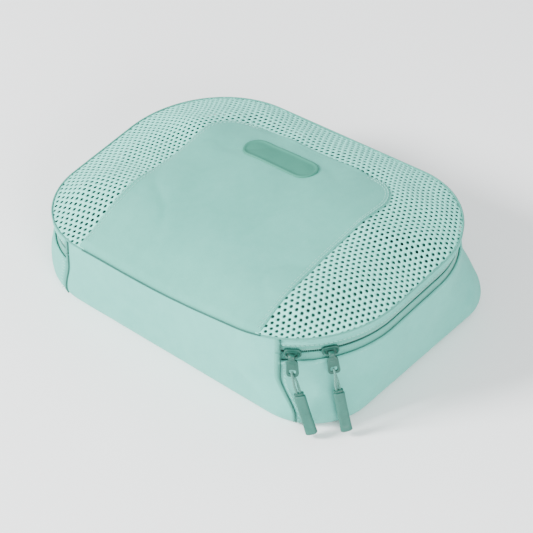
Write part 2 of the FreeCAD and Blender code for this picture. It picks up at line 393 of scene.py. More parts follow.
def insideDepth(x, y):
    # distance inside the lid's outline
    radius = cornerOf(x, y)
    qx = np.abs(x) - halfX + radius
    qy = np.abs(y) - halfY + radius
    outside = np.hypot(np.maximum(qx, 0), np.maximum(qy, 0))
    return radius - outside - np.minimum(np.maximum(qx, qy), 0)


def crownZ(x, y):
    share = np.clip(insideDepth(x, y) / halfY, 0, 1)
    return seamZ(x, y) + cube["crown"] * (1 - (1 - share) ** cube["crownPower"])


def ripple(points, size, seed):
    # smooth noise from -1 to 1 at each point
    shift = Vector((seed * 3.1, seed * 1.7, seed * 2.3))
    return np.array([noise.noise(Vector(point) / size + shift) for point in points])


def creased(points, size, seed):
    # narrow folds, 1 along their middle and 0 between them
    return np.clip(1 - np.abs(ripple(points, size, seed)) * 4.5, 0, 1) ** 2


def newObject(name, data):
    piece = bpy.data.objects.new(name, data)
    bpy.context.scene.collection.objects.link(piece)
    return piece


def smoothFaces(mesh):
    mesh.polygons.foreach_set("use_smooth", [True] * len(mesh.polygons))


def finishedMesh(piece):
    # the mesh that the piece's modifiers give
    graph = bpy.context.evaluated_depsgraph_get()
    graph.update()
    return bpy.data.meshes.new_from_object(piece.evaluated_get(graph))


def faceOutwards(piece, mergeWithin=0.0):
    work = bmesh.new()
    work.from_mesh(piece.data)
    if mergeWithin:
        bmesh.ops.remove_doubles(work, verts=work.verts, dist=mergeWithin)
    bmesh.ops.recalc_face_normals(work, faces=work.faces)
    work.to_mesh(piece.data)
    work.free()


def turns(sides):
    return np.linspace(0, 2 * math.pi, sides, endpoint=False)


def makePiece(name, points, faces, material, uvs=None):
    mesh = bpy.data.meshes.new(name)
    mesh.from_pydata([tuple(point) for point in points], [], faces)
    if uvs is not None:
        layer = mesh.uv_layers.new(name="cloth")
        values = np.asarray(uvs, float)
        loops = np.empty(len(mesh.loops), int)
        mesh.loops.foreach_get("vertex_index", loops)
        layer.data.foreach_set("uv", values[loops].ravel())
    mesh.materials.append(material)
    smoothFaces(mesh)
    return newObject(name, mesh)


def gridFaces(rows, across, closedAcross=False, closedRows=False):
    faces = []
    lastRow = rows if closedRows else rows - 1
    lastColumn = across if closedAcross else across - 1
    for row in range(lastRow):
        for column in range(lastColumn):
            a = row * across + column
            b = row * across + (column + 1) % across
            c = ((row + 1) % rows) * across + (column + 1) % across
            d = ((row + 1) % rows) * across + column
            faces.append((a, b, c, d))
    return faces


def gridPiece(name, grid, material, uvGrid=None, closedAcross=False, closedRows=False, caps=False):
    # grid is rows by columns by 3; the cap faces close the first and last rows
    rows, across = grid.shape[:2]
    faces = gridFaces(rows, across, closedAcross, closedRows)
    if caps:
        faces.append(tuple(range(across))[::-1])
        faces.append(tuple((rows - 1) * across + column for column in range(across)))
    uvs = None if uvGrid is None else uvGrid.reshape(-1, 2)
    return makePiece(name, grid.reshape(-1, 3), faces, material, uvs)


def bake(piece):
    # turns live modifiers into plain mesh
    mesh = finishedMesh(piece)
    piece.modifiers.clear()
    old = piece.data
    piece.data = mesh
    mesh.name = piece.name
    bpy.data.meshes.remove(old)
    return piece


def thicken(piece, thickness, offset=-1.0, lining=None):
    wall = piece.modifiers.new("thickness", "SOLIDIFY")
    if lining:
        piece.data.materials.append(lining)
        wall.material_offset = 1
    wall.thickness = thickness
    wall.offset = offset
    wall.use_even_offset = False
    return bake(piece)


def soften(piece, width, segments=2):
    edge = piece.modifiers.new("edges", "BEVEL")
    edge.width = width
    edge.segments = segments
    edge.limit_method = "ANGLE"
    edge.angle_limit = math.radians(40)
    return bake(piece)


def tube(name, path, radius, material, sides=12, closed=False, squashed=1.0):
    # round cord along a path, with U round it and V along it
    path = np.asarray(path, float)
    count = len(path)
    if closed:
        tangents = np.roll(path, -1, 0) - np.roll(path, 1, 0)
    else:
        tangents = np.gradient(path, axis=0)
    tangents /= np.linalg.norm(tangents, axis=1)[:, None]
    side = np.cross(tangents[0], (0.3, 0.2, 0.93))
    side /= np.linalg.norm(side)
    rings = []
    uvs = []
    run = 0.0
    for index in range(count):
        side = side - tangents[index] * side.dot(tangents[index])
        side /= np.linalg.norm(side)
        other = np.cross(tangents[index], side)
        if index:
            run += np.linalg.norm(path[index] - path[index - 1])
        angle = turns(sides)
        ring = path[index] + radius * (np.cos(angle)[:, None] * side
                                       + squashed * np.sin(angle)[:, None] * other)
        rings.append(ring)
        uvs.append(np.stack([angle / (2 * math.pi), np.full(sides, run)], 1))
    return gridPiece(name, np.array(rings), material, np.array(uvs), True, closed, not closed)


def joined(name, pieces):
    bpy.ops.object.select_all(action="DESELECT")
    for piece in pieces:
        piece.select_set(True)
    bpy.context.view_layer.objects.active = pieces[0]
    bpy.ops.object.join()
    pieces[0].name = name
    pieces[0].data.name = name
    return pieces[0]


def moved(piece, matrix):
    piece.data.transform(matrix)
    return piece


def attach(piece, body, slot, *nodes):
    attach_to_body(piece, body)
    if nodes:
        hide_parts(*nodes)
    return piece


wall = {
    "topBelowZip": 6.5 * mm, "thickness": 1.1 * mm, "puff": 3.0 * mm, "crease": 2.8 * mm,
    "hemHeight": 3.2 * mm, "hemRoll": 0.6 * mm, "curl": 0.55 * mm, "pucker": 0.5 * mm,
    "puckerReach": 9 * mm, "rows": 30, "endColumns": 8,
    "slantSize": 0.034, "smallSize": 0.016, "foldSize": 0.05, "puckerSize": 0.0085,
}
footHeights = np.array([0.0, 0.5, 1.3, 2.4, 3.8, 5.6, 7.6]) * mm
zipRun = np.arange(frontEnd, leftEnd + 0.5)


def wallGrid(places, topZ, rows, seed, puff, crease):
    # rows from the floor to topZ at each column, with soft bulges and creases
    ends = smooth(np.minimum(places - places[0], places[-1] - places) / wall["endColumns"])
    foot = footHeights[-1]
    levels = [np.full(len(places), z) for z in footHeights]
    levels += [foot + (topZ - foot) * share for share in np.linspace(0, 1, rows + 1)[1:]]
    run = runAt(places)
    grid = []
    for height in levels:
        points, out = outlineAt(places, *wallProfile(height))
        belly = np.sin(math.pi * np.clip(height / topZ, 0, 1)) ** 1.2
        slant = ripple(np.column_stack([run, height * 0.35, height * 0]), wall["slantSize"], seed)
        small = ripple(np.column_stack([points, height]), wall["smallSize"], seed + 4)
        folds = creased(np.column_stack([run, height * 0.45, height * 0]), wall["foldSize"], seed + 7)
        push = belly * (puff * (0.5 + 0.5 * slant) + crease * (0.45 * small - 0.4 * folds))
        grid.append(np.column_stack([points + out * (push * ends)[:, None], height]))
    uvs = [np.column_stack([run, height]) for height in levels]
    return np.array(grid), np.array(uvs)


def makeSideWall():
    points, out = outlineAt(zipRun, 0.0, cornerRadii)
    top = zipZ(*points.T) - wall["topBelowZip"]
    grid, uvs = wallGrid(zipRun, top, wall["rows"], 1, wall["puff"], wall["crease"])
    run = uvs[0, :, 0]
    pucker = ripple(np.column_stack([run, run * 0, run * 0]), wall["puckerSize"], 41)
    for line in grid:
        below = top - line[:, 2]
        near = np.clip(1 - below / wall["hemHeight"], 0, 1)
        curl = wall["hemRoll"] * np.sin(math.pi * near) - wall["curl"] * near ** 3
        gather = wall["pucker"] * pucker * np.exp(-below / wall["puckerReach"]) * (1 - near ** 2)
        line[:, :2] += out * (curl + gather)[:, None]
    piece = gridPiece("sideWall", grid, shellFabric, uvs)
    thicken(piece, wall["thickness"], lining=insideFabricPaintedLight)
    attach(piece, "case", "shell_fabric", "side_wall")


# inset from the outline and height above the floor of each ring, in millimetres
baseRings = ((5, 0.02), (6, 0.0), (8, 0.05), (14, 0.15), (26, 0.3), (44, 0.4), (66, 0.45), (84, 0.45))
baseThickness = 1.3 * mm


def makeBase():
    rings = []
    uvs = []
    for inset, height in baseRings:
        radii = np.maximum(bulgeRadii - inset * mm, 5 * mm)
        points, _ = outlineAt(np.arange(columnCount), inset * mm, radii)
        rings.append(np.column_stack([points, np.full(columnCount, height * mm)]))
        uvs.append(points)
    piece = gridPiece("basePanel", np.array(rings)[::-1], shellFabric, np.array(uvs)[::-1], True)
    mesh = piece.data
    work = bmesh.new()
    work.from_mesh(mesh)
    # the innermost ring is closed with one face
    rim = [edge for edge in work.edges if edge.is_boundary and abs(edge.verts[0].co.x) < 60 * mm
           and abs(edge.verts[0].co.y) < 20 * mm]
    bmesh.ops.contextual_create(work, geom=rim)
    bmesh.ops.recalc_face_normals(work, faces=work.faces)
    if sum(face.normal.z * face.calc_area() for face in work.faces) > 0:
        bmesh.ops.reverse_faces(work, faces=work.faces)
    work.to_mesh(mesh)
    work.free()
    thicken(piece, baseThickness, lining=insideFabricPaintedLight)
    attach(piece, "case", "shell_fabric", "base_panel")


def ringBand(name, places, low, high, rows, offset, thickness, material, shape=None, hung=False):
    # a strip between two heights above the zip; a hung one sags with the seam
    run = runAt(places)
    grid = []
    uvs = []
    for value in np.linspace(0, 1, rows):
        lean = offset + (shape(value) if shape else 0.0)
        points, _ = outlineAt(places, -lean, cornerRadii + lean)
        line = seamZ(*points.T) - cube["seamAboveZip"] if hung else zipZ(*points.T)
        up = low + (high - low) * value
        grid.append(np.column_stack([points, line + up]))
        uvs.append(np.column_stack([run, np.full(len(places), up)]))
    piece = gridPiece(name, np.array(grid), material, np.array(uvs))
    return thicken(piece, thickness)


zipSizes = {"gap": 0.9 * mm, "tapeHeight": 11 * mm, "tapeOffset": -1.8 * mm, "tapeThickness": 0.6 * mm,
            "belowSeam": 0.4 * mm, "toothPitch": 1.35 * mm, "coilOffset": -3.6 * mm, "coilAbove": 1.0 * mm}


def makeTapes():
    gap = zipSizes["gap"]
    for name, low, high, body, node in (
            ("zipTapeLower", -gap - zipSizes["tapeHeight"], -gap, "case", "zipper_tape_lower"),
            ("zipTapeUpper", gap, cube["seamAboveZip"] - zipSizes["belowSeam"], "lid",
             "zipper_tape_upper")):
        tape = ringBand(name, zipRun, low, high, 8, zipSizes["tapeOffset"],
                        zipSizes["tapeThickness"], zipTape)
        attach(tape, body, "zip_tape", node)


binding = {"thickness": 0.9 * mm, "bulge": 0.6 * mm, "lidLow": 8.2 * mm, "lidHigh": 11.4 * mm,
           "lidOffset": -3.0 * mm, "baseLow": 2.2 * mm, "baseHigh": 5.4 * mm, "baseInset": 2.0 * mm}


def makeBindings():
    def bulge(value):
        return -binding["bulge"] * math.sin(math.pi * value)

    places = np.arange(columnCount + 1)
    lid = ringBand("lidBinding", places, binding["lidLow"], binding["lidHigh"], 6,
                   binding["lidOffset"], binding["thickness"], liningFabric, bulge, hung=True)
    attach(lid, "lid", "trim", "lid_binding")
    grid = []
    uvs = []
    for height in np.linspace(binding["baseLow"], binding["baseHigh"], 6):
        level = np.full(len(places), height)
        inset, radii = wallProfile(level)
        points, _ = outlineAt(places, inset + binding["baseInset"], radii - binding["baseInset"])
        grid.append(np.column_stack([points, level]))
        uvs.append(np.column_stack([lengthAt, level]))
    base = gridPiece("baseBinding", np.array(grid), liningFabric, np.array(uvs))
    thicken(base, binding["thickness"])
    attach(base, "case", "trim", "base_binding")


makeSideWall()
makeBase()
makeTapes()
makeBindings()
print("case shell made")


spine = {
    "belowSeam": 0.2 * mm, "rows": 34, "endColumns": 8, "belowZip": 5 * mm, "fadeTop": 20 * mm,
    "fadeFoot": 9 * mm, "soft": 2.2 * mm, "small": 0.8 * mm, "fold": 0.8 * mm, "gather": 0.35 * mm,
    "gatherFrom": 6 * mm, "gatherOver": 4 * mm, "foldOutside": 0.5 * mm, "blendReach": 5 * mm,
}


def makeSpine():
    last = columnCount + frontEnd
    places = np.arange(leftEnd, last + 0.5)
    points, out = outlineAt(places, 0.0, cornerRadii)
    zips = zipZ(*points.T)
    grid, uvs = wallGrid(places, seamZ(*points.T) - spine["belowSeam"], spine["rows"], 2, 0.0, 0.0)
    ends = np.clip(np.minimum(places - leftEnd, last - places) / spine["endColumns"], 0, 1)
    for line in grid:
        height = line[:, 2]
        below = smooth((zips - spine["belowZip"] - height) / spine["fadeTop"])
        calm = below * smooth(height / spine["fadeFoot"]) * smooth(ends)
        soft = 0.5 + 0.5 * ripple(line * (1, 1, 0.5), 0.04, 9)
        small = ripple(line, 0.018, 12)
        folds = creased(line * (1, 1, 0.45), 0.055, 15)
        above = np.clip((height - zips - spine["gatherFrom"]) / spine["gatherOver"], 0, 1)
        gather = ripple(line * (1, 1, 0), 0.009, 17) * spine["gather"] * above
        depth = calm * (spine["soft"] * soft + spine["small"] * small - spine["fold"] * folds)
        line[:, :2] += out * (depth + gather * ends)[:, None]
    piece = gridPiece("spineFabric", grid, shellFabric, uvs)
    thicken(piece, wall["thickness"], lining=insideFabricPaintedLight)
    normal = np.array([-cube["riseX"], -cube["riseY"], 1.0])
    normal /= np.linalg.norm(normal)
    foldY = -halfY - spine["foldOutside"]
    fold = np.array([0, foldY, zipZ(0, foldY)])
    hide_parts("spine_wall", "spine_strip")
    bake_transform(piece)


makeSpine()
print("spine made")


band = {"low": 6.5 * mm, "belowSeam": 0.1 * mm, "thickness": 1.1 * mm, "roll": 0.7 * mm,
        "curl": 0.5 * mm, "inset": 0.1 * mm, "hemShare": 0.45}


def makeLidBand():
    def hem(value):
        near = max(0.0, 1 - value / band["hemShare"])
        return band["roll"] * math.sin(math.pi * near) - band["curl"] * near ** 3 - band["inset"]

    piece = ringBand("lidBand", zipRun, band["low"], cube["seamAboveZip"] - band["belowSeam"], 10, 0.0,
                     band["thickness"], shellFabric, hem)
    attach(piece, "lid", "shell_fabric", "lid_band")


piping = {"radius": 0.6 * mm, "outside": 0.35 * mm, "above": 0.3 * mm, "lineRadius": 0.5 * mm,
          "lineOutside": 0.75 * mm, "lineAbove": 0.55 * mm, "lineFrom": -70 * mm, "lineTo": 76 * mm}


def makePiping():
    # a cord round the seam in a darkened fabric, and a dark line along its spine side: both painted shade
    # of the seam's fold
    points, _ = outlineAt(np.arange(columnCount), -piping["outside"], cornerRadii + piping["outside"])
    path = np.column_stack([points, seamZ(*points.T) + piping["above"]])
    cord = tube("lidPiping", path, piping["radius"], seamFabricPaintedShade, 10, True)
    xs = np.linspace(piping["lineFrom"], piping["lineTo"], 80)
    ys = outlineY(xs) - piping["lineOutside"]
    path = np.column_stack([xs, ys, seamZ(xs, ys) + piping["lineAbove"]])
    line = tube("seamLine", path, piping["lineRadius"], creaseShadeFabric, 8)
    attach(joined("lidPiping", [cord, line]), "lid", "trim", "lid_piping")


panel = {"halfWidth": 74 * mm, "far": 57 * mm, "corner": 24 * mm, "lift": 0.5 * mm, "thickness": 0.9 * mm,
         "stitchInset": 3.2 * mm, "puff": 0.9 * mm, "edgeRound": 0.7 * mm, "groove": 0.28 * mm,
         "gather": 0.9 * mm, "fold": 0.8 * mm, "tuck": 0.3 * mm}


def panelDepth(x, y):
    # distance inside the panel's plan, with the spine edge left open
    inner = panel["halfWidth"] - panel["corner"]
    qx = np.abs(x) - inner
    qy = y - (panel["far"] - panel["corner"])
    outside = np.hypot(np.maximum(qx, 0), np.maximum(qy, 0))
    return panel["corner"] - outside - np.minimum(np.maximum(qx, qy), 0)


waves = {"fromEdge": 22 * mm, "netExtra": 1.7, "netFade": 6 * mm, "broad": 1.5 * mm, "broadSize": 0.042,
         "small": 0.5 * mm, "smallSize": 0.019}


def lidWaves(x, y):
    # slack in the net and the panel
    points = np.column_stack([x, y, np.zeros_like(x)])
    calm = smooth(insideDepth(x, y) / waves["fromEdge"])
    slack = 1.0 + waves["netExtra"] * (1 - smooth(panelDepth(x, y) / waves["netFade"]))
    broad = waves["broad"] * ripple(points, waves["broadSize"], 21)
    return calm * slack * (broad + waves["small"] * ripple(points, waves["smallSize"], 24))


def outlineY(x):
    # y of the lid's spine edge at each x
    radius = np.where(x > 0, cornerRadii[0], cornerRadii[3])
    beyond = np.clip(np.abs(x) - halfX + radius, 0, radius)
    return radius - halfY - np.sqrt(radius ** 2 - beyond ** 2)


def panelHeight(x, y):
    # the panel's cloth over the crown, gathered at the spine and grooved along its stitches
    edge = np.clip(panelDepth(x, y), 0, None)
    fromSpine = y - outlineY(x)
    fold = 1 - np.exp(-edge / panel["edgeRound"])
    groove = np.exp(-((edge - panel["stitchInset"]) / panel["edgeRound"]) ** 2)
    seamed = smooth(fromSpine / (4 * mm))
    flat = np.column_stack([x, y, np.zeros_like(x)])
    gather = ripple(flat * (1, 0.1, 0), 0.0085, 27) * np.exp(-fromSpine / (8 * mm)) * seamed
    folds = creased(flat, 0.06, 29) * smooth(fromSpine / (20 * mm)) * smooth(edge / (12 * mm))
    lift = panel["lift"] + panel["puff"] * fold - panel["groove"] * groove
    lift = lift + panel["gather"] * gather - panel["fold"] * folds
    return crownZ(x, y) + lidWaves(x, y) + lift * seamed - panel["tuck"] * (1 - seamed)


def makePanel():
    fromEdge = np.array([0, 0.4, 0.9, 1.6, 2.4, 3.2, 4.0, 5.2, 8.0]) * mm
    middle = np.linspace(-panel["halfWidth"] + 11 * mm, panel["halfWidth"] - 11 * mm, 72)
    xs = np.concatenate([-panel["halfWidth"] + fromEdge, middle, (panel["halfWidth"] - fromEdge)[::-1]])
    share = xs / panel["halfWidth"]
    straight = np.linspace(-halfY, panel["far"] - panel["corner"], 64)
    inner = panel["halfWidth"] - panel["corner"]
    rows = [(y, panel["halfWidth"]) for y in straight]
    centreY = panel["far"] - panel["corner"]
    for angle in np.radians(np.linspace(0, 90, 19)[1:]):
        rows.append((centreY + panel["corner"] * math.sin(angle),
                     inner + panel["corner"] * math.cos(angle)))
    grid = []
    for y, reach in rows:
        x = share * reach
        fade = max(0.0, 1 - (y + halfY) / (30 * mm))
        rowY = y + (outlineY(x) + halfY) * fade
        grid.append(np.column_stack([x, rowY, panelHeight(x, rowY)]))
    grid = np.array(grid)
    piece = gridPiece("centrePanel", grid, panelFabric, grid[:, :, :2])
    thicken(piece, panel["thickness"], lining=insideFabricPaintedLight)
    attach(piece, "lid", "shell_fabric", "centre_panel")


patch = {"centre": (-10 * mm, 34 * mm), "length": 58 * mm, "width": 20 * mm,
         "arcPoints": 24, "straightPoints": 24, "merge": 0.22 * mm}
# inset from the patch's edge and height over the panel of each ring, in millimetres
patchProfile = ((0.0, -0.9), (0.05, 0.2), (0.25, 0.8), (0.7, 1.05), (1.5, 1.05), (2.0, 0.75),
                (2.6, 0.5), (4.0, 0.5), (6.0, 0.56), (8.0, 0.6), (9.9, 0.6))


def stadiumRing(radius):
    # points round a stadium of the patch's length, counter-clockwise
    straight = patch["length"] - patch["width"]
    plan = []
    for side in (1, -1):
        for turn in np.linspace(-math.pi / 2, math.pi / 2, patch["arcPoints"]):
            plan.append((side * (straight / 2 + radius * math.cos(turn)), side * radius * math.sin(turn)))
        for share in np.linspace(0, 1, patch["straightPoints"] + 2)[1:-1]:
            plan.append((side * straight * (0.5 - share), side * radius))
    return np.array(plan) + patch["centre"]


def makePatch():
    # stadium with a raised rim round a blank field; its last ring merges into a closed middle
    rings = []
    for inset, height in patchProfile:
        plan = stadiumRing(patch["width"] / 2 - inset * mm)
        rings.append(np.column_stack([plan, panelHeight(*plan.T) + height * mm]))
    piece = gridPiece("labelPatch", np.array(rings), patchRubber, None, True)
    faceOutwards(piece, patch["merge"])
    smoothFaces(piece.data)
    attach(piece, "lid", "patch_rubber", "label_patch")


makeLidBand()
makePiping()
makePanel()
makePatch()
print("lid band, panel and patch made")


def newGeometryTree(name, inputs):
    tree = bpy.data.node_groups.new(name, "GeometryNodeTree")
    tree.interface.new_socket("Geometry", in_out="INPUT", socket_type="NodeSocketGeometry")
    for label, kind in inputs:
        tree.interface.new_socket(label, in_out="INPUT", socket_type=kind)
    tree.interface.new_socket("Geometry", in_out="OUTPUT", socket_type="NodeSocketGeometry")
    graph = Graph(tree)
    start = graph.add("NodeGroupInput", None, None, None)
    return graph, {socket.name: Wire(graph, socket) for socket in start.outputs if socket.name}


def endGeometryTree(graph, geometry, material):
    real = graph.add("GeometryNodeRealizeInstances", None, {"Geometry": geometry})
    painted = graph.add("GeometryNodeSetMaterial", None, {"Geometry": real, "Material": material})
    graph.add("NodeGroupOutput", None, {0: painted}, None)
    return graph.tree


def runGeometryTree(piece, tree, values):
    modifier = piece.modifiers.new(tree.name, "NODES")
    modifier.node_group = tree
    for item in tree.interface.items_tree:
        if item.in_out == "INPUT" and item.name in values:
            modifier[item.identifier] = values[item.name]
    result = newObject(piece.name + "Mesh", finishedMesh(piece))
    bpy.data.objects.remove(piece)
    return result


def netTree():
    # hexagons from the dual of a grid with every other row shifted, each with its middle cut out
    graph, given = newGeometryTree("hexagon net", [
        ("Columns", "NodeSocketInt"), ("Rows", "NodeSocketInt"), ("Pitch", "NodeSocketFloat"),
        ("Row pitch", "NodeSocketFloat"), ("Hole share", "NodeSocketFloat"),
        ("Material", "NodeSocketMaterial")])
    sizeX = (given["Columns"] - 1) * given["Pitch"]
    sizeY = (given["Rows"] - 1) * given["Row pitch"]
    plane = graph.add("GeometryNodeMeshGrid", None, {
        "Size X": sizeX, "Size Y": sizeY, "Vertices X": given["Columns"], "Vertices Y": given["Rows"]})
    position = graph.add("GeometryNodeInputPosition")
    _, y, _ = graph.split(position)
    odd = (y / given["Row pitch"]).maths("ROUND").maths("FLOORED_MODULO", 2.0)
    shift = graph.add("ShaderNodeCombineXYZ", None, {0: odd * given["Pitch"] * 0.5})
    moved = graph.add("GeometryNodeSetPosition", None, {"Geometry": plane, "Offset": shift})
    triangles = graph.add("GeometryNodeTriangulate", {"quad_method": "SHORTEST_DIAGONAL"}, {"Mesh": moved})
    cells = graph.add("GeometryNodeDualMesh", None, {"Mesh": triangles})
    cut = graph.add("GeometryNodeExtrudeMesh", {"mode": "FACES"},
                    {"Mesh": cells, "Offset Scale": 0.0, "Individual": True}, None)
    top = Wire(graph, cut.outputs["Top"])
    scaled = graph.add("GeometryNodeScaleElements", {"domain": "FACE"}, {
        "Geometry": Wire(graph, cut.outputs["Mesh"]), "Selection": top, "Scale": given["Hole share"]})
    opened = graph.add("GeometryNodeDeleteGeometry", {"domain": "FACE"},
                       {"Geometry": scaled, "Selection": top})
    return endGeometryTree(graph, opened, given["Material"])


net = {"pitch": 3.9 * mm, "holeShare": 0.53, "thickness": 0.45 * mm, "overlap": 3.0 * mm, "edge": 0.3 * mm,
       "drift": 3.4 * mm}


def makeNet():
    rowPitch = net["pitch"] * math.sqrt(3) / 2
    count = int(cube["width"] / net["pitch"]) + 8
    rows = 2 * (int(cube["depth"] / rowPitch / 2) + 4) + 1
    seed = newObject("net", bpy.data.meshes.new("netSeed"))
    piece = runGeometryTree(seed, netTree(), {
        "Columns": count, "Rows": rows, "Pitch": net["pitch"], "Row pitch": rowPitch,
        "Hole share": net["holeShare"], "Material": netYarn})
    piece.name = "meshWindow"
    mesh = piece.data
    work = bmesh.new()
    work.from_mesh(mesh)
    drop = []
    for face in work.faces:
        middle = face.calc_center_median()
        inLid = insideDepth(middle.x, middle.y) > -0.5 * net["pitch"]
        underPanel = panelDepth(middle.x, middle.y) > net["overlap"]
        if not inLid or underPanel:
            drop.append(face)
    bmesh.ops.delete(work, geom=drop, context="FACES")
    work.to_mesh(mesh)
    work.free()
    points = np.empty(len(mesh.vertices) * 3)
    mesh.vertices.foreach_get("co", points)
    points = points.reshape(-1, 3)
    for axis in (0, 1):
        points[:, axis] += net["drift"] * ripple(points * (1, 1, 0), 0.05, 31 + axis)
    points[:, :2] = pushInside(points[:, :2], net["edge"])
    x, y = points[:, 0], points[:, 1]
    points[:, 2] = crownZ(x, y) + lidWaves(x, y) + 0.1 * mm
    mesh.vertices.foreach_set("co", points.ravel())
    mesh.update()
    smoothFaces(mesh)
    thicken(piece, net["thickness"])
    attach(piece, "lid", "net", "mesh_window")
    print("net faces", len(piece.data.polygons))


def pushInside(points, inset):
    # moves what stands outside the lid's outline back onto it
    points = points.copy()
    signs = np.where(points < 0, -1.0, 1.0)
    radius = cornerOf(points[:, 0], points[:, 1])
    core = np.stack([halfX - radius, halfY - radius], 1)
    q = np.abs(points) - core
    reach = radius - inset
    both = (q > 0).all(axis=1)
    length = np.hypot(q[:, 0], q[:, 1])
    far = both & (length > reach)
    q[far] *= (reach[far] / length[far])[:, None]
    q = np.minimum(q, reach[:, None])
    return (q + core) * signs


def repeatTree(name):
    # sets one small shape at even steps along every curve, lying along it
    graph, given = newGeometryTree(name, [
        ("Shape", "NodeSocketObject"), ("Spacing", "NodeSocketFloat"), ("Material", "NodeSocketMaterial")])
    spaced = graph.add("GeometryNodeCurveToPoints", {"mode": "LENGTH"},
                       {"Curve": given["Geometry"], "Length": given["Spacing"]}, None)
    turn = graph.add("FunctionNodeAlignRotationToVector", {"axis": "X", "pivot_axis": "Z"},
                     {"Vector": Wire(graph, spaced.outputs["Tangent"])})
    shape = graph.add("GeometryNodeObjectInfo", None, {"Object": given["Shape"]}, "Geometry")
    placed = graph.add("GeometryNodeInstanceOnPoints", None, {
        "Points": Wire(graph, spaced.outputs["Points"]), "Instance": shape, "Rotation": turn})
    return endGeometryTree(graph, placed, given["Material"])


alongPaths = repeatTree("shapes along paths")


def curveOf(name, paths):
    curve = bpy.data.curves.new(name, "CURVE")
    curve.dimensions = "3D"
    for path in paths:
        spline = curve.splines.new("POLY")
        spline.points.add(len(path) - 1)
        flat = np.column_stack([path, np.ones(len(path))]).ravel()
        spline.points.foreach_set("co", flat)
    return newObject(name, curve)


def capsule(name, length, radius, material, sides=6):
    path = [(-length / 2, 0, -0.6 * radius), (-length * 0.36, 0, 0), (0, 0, 0.25 * radius),
            (length * 0.36, 0, 0), (length / 2, 0, -0.6 * radius)]
    rings = []
    for index, point in enumerate(path):
        size = radius * (0.45 if index in (0, 4) else 1.0)
        angle = turns(sides)
        ring = np.column_stack([np.zeros(sides), size * np.cos(angle), size * np.sin(angle)])
        rings.append(ring + point)
    return gridPiece(name, np.array(rings), material, None, True, False, True)


def makeRepeats(name, paths, shape, spacing, material, body, slot, *nodes):
    piece = runGeometryTree(curveOf(name, paths), alongPaths, {
        "Shape": shape, "Spacing": spacing, "Material": material})
    piece.name = name
    piece.data.name = name
    smoothFaces(piece.data)
    attach(piece, body, slot, *nodes)
    bpy.data.objects.remove(shape)
    print(name, len(piece.data.polygons), "faces")
    return piece


def zipLine(places, above, offset):
    points, _ = outlineAt(np.asarray(places, float), -offset, cornerRadii + offset)
    return np.column_stack([points, zipZ(*points.T) + above])


def wallLine(place, low, high, offset, count=24):
    # an upright line on the wall at one column number
    path = []
    for z in np.linspace(low, high, count):
        inset, radii = wallProfile([z])
        points, out = outlineAt([place], inset - offset, radii + offset)
        path.append((*points[0], z))
    return np.array(path)


def panelBorder(inset):
    # the panel's stitch line, from the spine round the far side and back
    inner = panel["halfWidth"] - panel["corner"]
    centreY = panel["far"] - panel["corner"]
    radius = panel["corner"] - inset
    right = [(panel["halfWidth"] - inset, y) for y in np.linspace(-halfY + 6 * mm, centreY, 60)]
    angles = np.radians(np.linspace(0, 90, 24))
    turn = [(inner + radius * math.cos(a), centreY + radius * math.sin(a)) for a in angles]
    half = right + turn
    mirrored = [(-x, y) for x, y in reversed(half)]
    plan = np.array(half + mirrored)
    return np.column_stack([plan, panelHeight(*plan.T) + 0.12 * mm])


stitch = {"length": 2.2 * mm, "radius": 0.22 * mm, "pitch": 2.9 * mm, "lidAbove": 6.6 * mm,
          "lidOut": 0.15 * mm, "caseBelow": 8.6 * mm, "caseOut": 0.28 * mm, "edgeInset": 1.4 * mm,
          "seamColumns": 1.3, "wallFoot": 4 * mm, "wallTop": 7 * mm, "wallOut": 0.5 * mm}
lineCount = 700


def makeStitches():
    dense = np.linspace(frontEnd + 1, leftEnd - 1, lineCount)
    lidPaths = [zipLine(dense, stitch["lidAbove"], stitch["lidOut"]),
                panelBorder(panel["stitchInset"]), panelBorder(stitch["edgeInset"])]
    casePaths = [zipLine(dense, -stitch["caseBelow"], stitch["caseOut"])]
    for place in (frontEnd + stitch["seamColumns"], leftEnd - stitch["seamColumns"]):
        points, _ = outlineAt([place], 0.0, cornerRadii)
        top = float(zipZ(*points[0])) - stitch["wallTop"]
        casePaths.append(wallLine(place, stitch["wallFoot"], top, stitch["wallOut"]))
    for body, paths in (("lid", lidPaths), ("case", casePaths)):
        shape = capsule(body + "Stitch", stitch["length"], stitch["radius"], threadFinish)
        makeRepeats(body + "Stitches", paths, shape, stitch["pitch"], threadFinish, body, "trim")


tooth = {"radius": 0.42 * mm, "reach": 1.9 * mm, "halfHeight": 0.75 * mm, "head": 0.4 * mm}


def toothShape(name, side):
    # one turn of the coil: a loop over the tape with a rounded head at the gap
    path = [(0, tooth["halfHeight"] * math.cos(turn), -side * tooth["head"] * math.sin(turn))
            for turn in np.linspace(0, math.pi, 7)]
    ends = [(0, sign * tooth["halfHeight"], side * tooth["reach"]) for sign in (1, -1)]
    return tube(name, ends[:1] + path + ends[1:], tooth["radius"], coilNylon, 6)


def makeCoils():
    dense = np.linspace(frontEnd, leftEnd, lineCount)
    for label, side, body in (("Upper", 1, "lid"), ("Lower", -1, "case")):
        path = zipLine(dense, side * zipSizes["coilAbove"], zipSizes["coilOffset"])
        makeRepeats("zipCoil" + label, [path], toothShape("tooth" + label, side),
                    zipSizes["toothPitch"], coilNylon, body, "zip_coil", "zipper_coil_" + label.lower())


makeNet()
makeStitches()
makeCoils()
print("net, stitches and teeth made")


